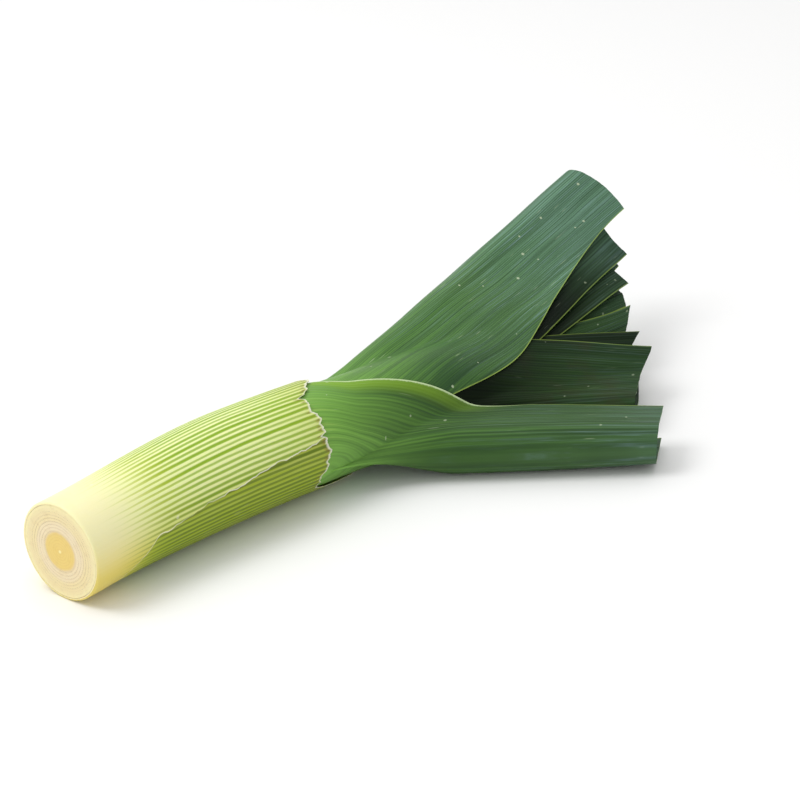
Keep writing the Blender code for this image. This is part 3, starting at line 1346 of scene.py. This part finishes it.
@dataclass(frozen=True)
class SheathFinish:
    """The pale outer sheath: cream at the root, then green lines that widen towards the collar, with
    painted shade on its lower side and painted highlights on its top.
    """

    name: str = "striped_sheath"
    cream: Colour = tint(252, 244, 190)
    # Painted shade: a shaded copy of the cream for the lower side.
    cream_in_shade: Colour = tint(228, 208, 108)
    pale: Colour = tint(240, 251, 174)
    # Painted shade: a shaded copy of the pale colour for the lower side.
    pale_in_shade: Colour = tint(188, 194, 40)
    green: Colour = tint(210, 224, 128)
    line_first: Colour = tint(198, 204, 56)
    line_mid: Colour = tint(136, 174, 4)
    line_last: Colour = tint(138, 152, 38)
    # The line colour for the lower side in painted shade, which the peeled patch's lines take too.
    shaded_and_peeled_line: Colour = tint(96, 120, 2)
    under: Colour = tint(160, 178, 34)
    papery: Colour = tint(244, 240, 222)
    # A dry brown, for the scar band by the torn edge and for the painted shadow inside the peeled edge.
    scar_and_shadow: Colour = tint(128, 104, 48)
    lines: VeinSet = VeinSet(1.0, 0.008, 0.034, 0.35)
    hairs: VeinSet = VeinSet(2.0, 0.035, 0.06, 0.16)
    striped_length: float = 0.15

    def build(self, veins: int) -> Material:
        """Builds the material.

        Args:
            veins: Veins on each half of the sheath.

        Returns:
            The finished material.
        """
        paint = Paint(self.name, 0.36, Specular_IOR_Level=0.3)
        along, high, peel, cut = paint.marks("along", "high", "peel_mm", "cut_mm")
        lines, streaks, own = paint.veins(self.lines, veins)
        hairs = paint.veins(self.hairs, veins)[0]
        specks, mottle = paint.blemishes(0.05)
        # How far the surface faces up towards the light: 1 on the lit top, 0 on the lower side in painted
        # shade.
        lit = paint.step(high, -0.4, 0.65)
        torn_off = paint.step(peel, -0.15, 0.15)
        stops = [
            (0.12, self.line_first), (0.36, self.line_mid), (0.72, self.line_mid), (0.92, self.line_last),
        ]
        line = paint.ramp(paint.maths("DIVIDE", along, self.striped_length), stops)
        # The lines take the painted shade on the lower side, and the same colour on the peeled patch.
        line = paint.blend(torn_off, paint.blend(lit, self.shaded_and_peeled_line, line), self.shaded_and_peeled_line)
        # Painted shade: the lower side gets the shaded copies of the cream and of the pale.
        paint.colour = paint.blend(lit, self.cream_in_shade, self.cream)
        paint.over(paint.blend(lit, self.pale_in_shade, self.pale), paint.step(along, 0.006, 0.04))
        paint.over(self.green, paint.step(along, 0.085, 0.135))
        paint.over(self.under, torn_off, paint.step(along, 0.008, 0.036))
        # Painted highlight: pale streaks between the lines, on the lit upper side only.
        paint.over(self.cream, paint.step(streaks, 0.4, 0.7), lit, 0.3)
        paint.over(line, lines, paint.scaled(own, 0.25, 0.75))
        paint.over(line, hairs, 0.22)
        paint.over(self.papery, specks, 0.35)
        dry = paint.fade(paint.sway(cut, mottle, 3.0), 0.3, 1.5)
        band = paint.product(paint.step(cut, 0.8, 1.5), paint.fade(cut, 1.8, 4.0))
        paint.over(self.scar_and_shadow, band, paint.step(streaks, 0.46, 0.6), 0.65)
        paint.over(self.papery, dry, 0.75)
        rim = paint.product(paint.step(peel, -0.55, -0.12), paint.fade(peel, 0.0, 0.22))
        paint.over(self.papery, rim, paint.step(mottle, 0.3, 0.62), 0.8)
        # Painted shadow: a faint dark band just inside the edge of the peeled patch.
        paint.over(self.scar_and_shadow, paint.step(peel, 0.05, 0.2), paint.fade(peel, 0.3, 1.1), 0.2)
        paint.soften(0.2, (1.0, 0.9, 0.35), 1.5 * MM)
        rough = paint.scaled(dry, 0.3, paint.scaled(mottle, 0.16, 0.3))
        return paint.finish(rough, paint.scaled(lines, -0.6, streaks), 0.05 * MM)


@dataclass(frozen=True)
class BladeFinish:
    """A leaf's waxy skin: pale in the shank, light green at the collar, dark and bluish above it, with
    painted shade over the blade away from the keel, near the crotch and on leaves set in shade.
    """

    name: str
    collar: float
    # Painted shade: the share of light that the blade keeps.
    light: float
    browning: float
    fresh_margin: float
    dim_near_crotch: float
    cream: Colour = tint(240, 234, 176)
    pale: Colour = tint(206, 222, 118)
    base: Colour = tint(132, 186, 80)
    green: Colour = tint(92, 142, 58)
    middle: Colour = tint(92, 136, 76)
    deep: Colour = tint(110, 152, 124)
    # A dark green, for the vein lines and for painted shade.
    dark_vein_and_shade: Colour = tint(36, 70, 36)
    bloom: Colour = tint(146, 180, 180)
    fresh: Colour = tint(140, 186, 48)
    rim: Colour = tint(164, 190, 84)
    fuzz: Colour = tint(206, 226, 178)
    speck: Colour = tint(204, 218, 184)
    brown: Colour = tint(96, 84, 62)
    lines: VeinSet = VeinSet(1.0, 0.05, 0.06, 0.3)
    hairs: VeinSet = VeinSet(3.0, 0.05, 0.06, 0.3)
    longest: float = 0.4

    def greens(self) -> list[tuple[float, Colour]]:
        """Places the colours along the leaf, from the collar on.

        Returns:
            Each colour with its place, as a share of the longest leaf.
        """
        steps = {
            -0.05: self.pale, 0.002: self.base, 0.06: self.green, 0.12: self.middle, 0.19: self.deep,
        }
        stops = [((self.collar + above) / self.longest, colour) for above, colour in steps.items()]
        return [(0.0, self.cream), *stops]

    def build(self, veins: int) -> Material:
        """Builds the material.

        Args:
            veins: Veins on each half of the leaf.

        Returns:
            The finished material.
        """
        paint = Paint(self.name, 0.5, Specular_IOR_Level=0.2 if self.light > 0.5 else 0.06)
        along, across, keel = paint.marks("along", "across", "keel_mm")
        margin, cut = paint.marks("margin_mm", "cut_mm")
        lines, streaks, own = paint.veins(self.lines, veins)
        hairs, _, hairs_own = paint.veins(self.hairs, veins)
        specks, mottle = paint.blemishes(0.13)
        low = self.collar
        shifted = paint.sway(along, streaks, 0.09)
        paint.colour = paint.ramp(paint.maths("DIVIDE", shifted, self.longest), self.greens())
        risen = paint.step(along, low - 0.01, low + 0.06)
        bands = paint.noise(paint.stretched(across, along, (0.6 * veins, 9.0), low * 50.0), 1.0, 3.0, 0.6)
        # Painted shade: grows from the keel outwards, stronger near the collar than further up.
        gone = paint.scaled(paint.step(along, low + 0.06, low + 0.2), -0.35, 0.5)
        far = paint.product(paint.step(keel, 4.0, 48.0), gone)
        # Above the collar: darker in random broad bands along the veins, plus the painted shade away from
        # the keel.
        paint.over(self.dark_vein_and_shade, paint.scaled(paint.fade(bands, 0.36, 0.64), 0.42, far), risen)
        waxy = paint.product(paint.step(streaks, 0.5, 0.72), paint.step(along, low + 0.02, low + 0.16))
        paint.over(self.bloom, waxy, 0.6)
        grown = paint.scaled(paint.step(along, low + 0.01, low + 0.07), 0.75, 0.25)
        paint.over(self.dark_vein_and_shade, lines, paint.scaled(own, 0.45, 0.15), grown)
        paint.over(self.dark_vein_and_shade, hairs, hairs_own, 0.3)
        if self.browning:
            paint.over(self.brown, paint.step(mottle, 0.45, 0.66), risen, self.browning)
        if self.fresh_margin:
            lip = paint.product(paint.fade(margin, 2.5, 8.0), paint.fade(along, low + 0.045, low + 0.09))
            paint.over(self.fresh, lip, self.fresh_margin)
        # Painted shade: darker towards the crotch, where the leaves shade each other.
        if self.dim_near_crotch:
            paint.over(dimmed(self.dark_vein_and_shade, 0.15), paint.step(cut, 8.0, 75.0), self.dim_near_crotch)
        # Painted shade: above the collar the colour keeps only this share of its light, for leaves that
        # lie in the shade of others.
        if self.light < 1.0:
            grey = dimmed((1.0, 1.0, 1.0, 1.0), self.light)
            paint.over(paint.blend(1.0, paint.colour, grey, "MULTIPLY"), risen)
        paint.over(self.speck, specks, 0.7 * self.light)
        paint.over(self.rim, paint.fade(margin, 0.2, 0.6), 0.2 + 0.45 * self.light)
        if self.fresh_margin:
            ragged = paint.scaled(paint.noise(paint.body_place(), 900.0, 2.0), 0.8, margin)
            hem = paint.product(paint.fade(ragged, 0.7, 1.4), paint.fade(along, low + 0.06, low + 0.1))
            paint.over(self.fuzz, hem, 0.85)
        rough = paint.scaled(waxy, 0.12, 0.42)
        return paint.finish(rough, paint.scaled(lines, -0.5, streaks), 0.08 * MM)


@dataclass(frozen=True)
class CutFinish:
    """Moist flesh cut across its rings, with a faint line between them."""

    name: str
    stops: Stops
    line: Colour
    radius: float
    wander: float
    fine: float
    coarse: float
    roughness: float
    coat: float
    grained: float
    glow: tuple[float, float, float]

    def from_axis(self, paint: Paint) -> Socket:
        """How far a place lies from the axis of the rings, in millimetres."""
        raise NotImplementedError

    def rings(self, paint: Paint, radius: Socket, soft: Socket) -> Socket:
        """How strongly the lines between the rings show at a radius, with a soft noise to break them."""
        raise NotImplementedError

    def build(self) -> Material:
        """Builds the material.

        Returns:
            The finished material.
        """
        paint = Paint(self.name, self.roughness, Coat_Weight=self.coat)
        here = paint.body_place()
        grain = paint.noise(here, self.fine)
        soft = paint.noise(here, self.coarse, 2.0)
        radius = paint.sway(self.from_axis(paint), soft, self.wander)
        paint.colour = paint.ramp(paint.maths("DIVIDE", radius, self.radius), self.stops)
        paint.over(self.line, self.rings(paint, radius, soft))
        paint.over(self.line, paint.step(grain, 0.5, 0.7), self.grained)
        paint.soften(0.3, self.glow, 2.0 * MM)
        return paint.finish(paint.scaled(grain, 0.2, self.roughness), grain, 0.05 * MM)


@dataclass(frozen=True)
class RootCutFinish(CutFinish):
    """The cut across the sheaths at the root: cream flesh, pinkish round the heart."""

    name: str = "root_cut_flesh"
    stops: Stops = (
        (0.42, tint(248, 226, 184)), (0.58, tint(248, 226, 184)), (0.66, tint(248, 226, 170)),
        (0.8, tint(248, 226, 170)), (0.9, tint(254, 236, 178)),
    )
    line: Colour = tint(206, 168, 104)
    radius: float = 20.0
    wander: float = 0.8
    fine: float = 420.0
    coarse: float = 90.0
    roughness: float = 0.32
    coat: float = 0.1
    grained: float = 0.15
    glow: tuple[float, float, float] = (1.0, 0.8, 0.45)

    def from_axis(self, paint: Paint) -> Socket:
        """Every sheath shares this finish, so the distance is taken from the middle of the cut."""
        return paint.distance_mm(GROWTH.root_cut)

    def rings(self, paint: Paint, radius: Socket, soft: Socket) -> Socket:
        """A line for each sheath, broken here and there, and none in the outer band.

        Args:
            paint: The material's wiring.
            radius: Distance from the middle of the cut.
            soft: A noise that breaks the lines.

        Returns:
            How strongly the lines show.
        """
        ring = paint.step(paint.off_centre(paint.maths("ADD", radius, 0.6), 1.3), 0.24, 0.48)
        inner = paint.fade(paint.maths("DIVIDE", radius, self.radius), 0.68, 0.84)
        return paint.product(ring, inner, paint.step(soft, 0.25, 0.55), 0.36)


@dataclass(frozen=True)
class HeartFinish(CutFinish):
    """The golden heart of the cut, with a small bright middle."""

    name: str = "golden_heart"
    stops: Stops = (
        (0.0, tint(252, 238, 170)), (0.04, tint(252, 238, 170)), (0.1, tint(234, 205, 112)),
        (0.8, tint(234, 205, 112)), (0.9, tint(234, 205, 126)), (0.97, tint(240, 216, 170)),
    )
    line: Colour = tint(214, 178, 86)
    radius: float = 8.3
    wander: float = 0.9
    fine: float = 600.0
    coarse: float = 160.0
    roughness: float = 0.3
    coat: float = 0.25
    grained: float = 0.2
    glow: tuple[float, float, float] = (1.0, 0.75, 0.3)

    def from_axis(self, paint: Paint) -> Socket:
        """The spindle holds its own distance."""
        return paint.marks("axis_mm")[0]

    def rings(self, paint: Paint, radius: Socket, soft: Socket) -> Socket:
        """Fine even rings all over."""
        return paint.product(paint.step(paint.off_centre(radius, 1.15), 0.25, 0.5), 0.25)


@dataclass(frozen=True)
class EdgeFinish:
    """The thin edge of a leaf: its margin, or the cut across its tip."""

    name: str
    light: Colour
    dark: Colour

    def build(self) -> Material:
        """Builds the material.

        Returns:
            The finished material.
        """
        paint = Paint(self.name, 0.45)
        fine = paint.noise(paint.body_place(), 700.0)
        paint.colour = paint.blend(paint.step(fine, 0.4, 0.65), self.light, self.dark)
        return paint.finish(paint.scaled(fine, 0.2, 0.35), fine, 0.04 * MM)


@dataclass(frozen=True)
class FloorFinish:
    """The plain pale ground."""

    name: str = "pale_ground"
    pale: Colour = (0.97, 0.97, 0.965, 1.0)

    def build(self) -> Material:
        """Builds the material.

        Returns:
            The finished material.
        """
        paint = Paint(self.name, 0.6, Specular_IOR_Level=0.2)
        paint.shader["Base Color"].default_value = self.pale
        return paint.material


@dataclass(frozen=True)
class Lamp:
    """A soft square light that faces the leek, with its side in metres and its power in watts."""

    name: str
    place: tuple[float, float, float]
    side: float
    power: float

    def build(self) -> None:
        """Adds the light."""
        lamp = bpy.data.lights.new(self.name, "AREA")
        lamp.size = self.side
        lamp.energy = self.power
        holder = bpy.data.objects.new(self.name, lamp)
        bpy.context.scene.collection.objects.link(holder)
        holder.location = self.place
        holder.rotation_mode = "QUATERNION"
        holder.rotation_quaternion = (-Vector(self.place)).to_track_quat("-Z", "Y")


@dataclass
class Studio:
    """The pale floor, the soft light and the camera, whose focal length is in pixels."""

    azimuth: float = math.radians(-45.0)
    elevation: float = math.radians(25.0)
    focal: float = 1889.0
    distance: float = 0.70
    root_pixel: tuple[float, float] = (60.0, 552.0)
    root_point: tuple[float, float, float] = (-0.1786, 0.0222, 0.0198)
    image: float = 800.0
    sensor: float = 36.0
    lamps: tuple[Lamp, ...] = (
        Lamp("key", (-0.9, 0.6, 1.4), 0.8, 11.0),
        Lamp("overhead", (0.3, 0.9, 2.4), 3.0, 18.0),
    )
    room_light: float = 0.68

    def view_axes(self) -> tuple[Vector, Vector, Vector]:
        """Works out which way the camera faces.

        Returns:
            Its look, its right and its up.
        """
        a, e = self.azimuth, self.elevation
        look = Vector((-math.sin(a) * math.cos(e), math.cos(a) * math.cos(e), -math.sin(e)))
        right = Vector((math.cos(a), math.sin(a), 0.0))
        return look, right, right.cross(look)

    def add_camera(self) -> None:
        """Adds the camera, so that the middle of the root cut falls on its place in the picture."""
        look, right, up = self.view_axes()
        side = (self.root_pixel[0] - self.image / 2) / self.focal
        rise = (self.root_pixel[1] - self.image / 2) / self.focal
        lens = bpy.data.cameras.new("camera")
        lens.sensor_width = self.sensor
        lens.lens = self.focal * self.sensor / self.image
        lens.clip_start = 0.01
        camera = bpy.data.objects.new("camera", lens)
        bpy.context.scene.collection.objects.link(camera)
        camera.location = Vector(self.root_point) - self.distance * (look + right * side - up * rise)
        camera.rotation_mode = "QUATERNION"
        camera.rotation_quaternion = look.to_track_quat("-Z", "Y")
        bpy.context.scene.camera = camera

    def add_floor(self) -> None:
        """Adds the ground, just under the leek."""
        select_only()
        bpy.ops.mesh.primitive_plane_add(size=12.0, location=(0.0, 0.0, -0.0001))
        floor = bpy.context.active_object
        floor.name = "ground"
        floor.data.materials.append(FloorFinish().build())

    def add_room_light(self) -> None:
        """Adds the even white light from all round."""
        world = bpy.data.worlds.new("white_room")
        world.use_nodes = True
        ground = world.node_tree.nodes["Background"]
        ground.inputs["Color"].default_value = (1.0, 1.0, 1.0, 1.0)
        ground.inputs["Strength"].default_value = self.room_light
        bpy.context.scene.world = world

    def build(self) -> None:
        """Sets up everything round the leek."""
        self.add_camera()
        self.add_floor()
        for lamp in self.lamps:
            lamp.build()
        self.add_room_light()
        bpy.context.scene.view_settings.view_transform = "Standard"


@dataclass
class Leek:
    """The whole leek: its torn outer sheath, eight leaves and heart. The outer leaves are finer."""

    vein_pitch: float = 1.65
    fewest_veins: int = 20
    sheath_veins: int = 32
    outer_leaves: int = 2
    columns: tuple[int, int] = (6, 8)
    rows: tuple[int, int] = (44, 64)
    crotch_shade: tuple[float, float] = (0.9, 0.0)

    def settle(self, piece: Piece, node: str, finishes: Materials) -> None:
        """Dresses a piece and says what it is.

        Args:
            piece: The piece.
            node: The node that it stands for.
            finishes: Its materials, in the order of its faces' slots.
        """
        for finish in finishes:
            piece.data.materials.append(finish)
        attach(piece, "root")
        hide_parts(node)
        LOG.info("%s stands for %s: %d faces", piece.name, node, len(piece.data.polygons))

    def add_leaf(self, size: LeafSize, cuts: Materials, margins: Materials) -> None:
        """Builds and dresses one leaf.

        Args:
            size: The leaf's sizes.
            cuts: The materials of the cuts at its root and its tip.
            margins: The materials of an inner and of an outer leaf's margin.
        """
        outer = size.index <= self.outer_leaves
        veins = max(round(size.widest_half / self.vein_pitch), self.fewest_veins)
        name = f"leaf_{size.index}"
        leaf = Leaf(name + "_blade", self.columns[outer] * veins, veins, size, self.rows[outer])
        own = (size.light, size.browning, size.fresh_margin, self.crotch_shade[outer])
        skin = BladeFinish(name + "_skin", leaf.collar, *own).build(veins)
        self.settle(leaf.build(), name, [skin, *cuts, margins[outer]])

    def build(self) -> None:
        """Builds and dresses every piece."""
        cut = RootCutFinish().build()
        tip = EdgeFinish("tip_cut", tint(150, 176, 120), tint(104, 136, 84)).build()
        bright = EdgeFinish("leaf_margin", tint(168, 192, 96), tint(126, 156, 66)).build()
        dim = EdgeFinish("inner_leaf_margin", tint(112, 140, 66), tint(74, 106, 44)).build()
        torn = EdgeFinish("torn_edge", tint(244, 238, 214), tint(206, 194, 140)).build()
        sheath = OuterSheath("outer_sheath_skin", 8 * self.sheath_veins, self.sheath_veins)
        skin = SheathFinish().build(sheath.veins)
        self.settle(sheath.build(), "outer_sheath", [skin, cut, torn, torn])
        for size in LEAF_SIZES:
            self.add_leaf(size, (cut, tip), (dim, bright))
        self.settle(Heart().build(), "heart", [HeartFinish().build()])


def main() -> None:
    """Builds the leek and the studio round it."""
    logging.basicConfig(level=logging.INFO, format="%(message)s")
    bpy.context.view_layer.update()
    Studio().build()
    Leek().build()


if __name__ == "__main__":
    main()
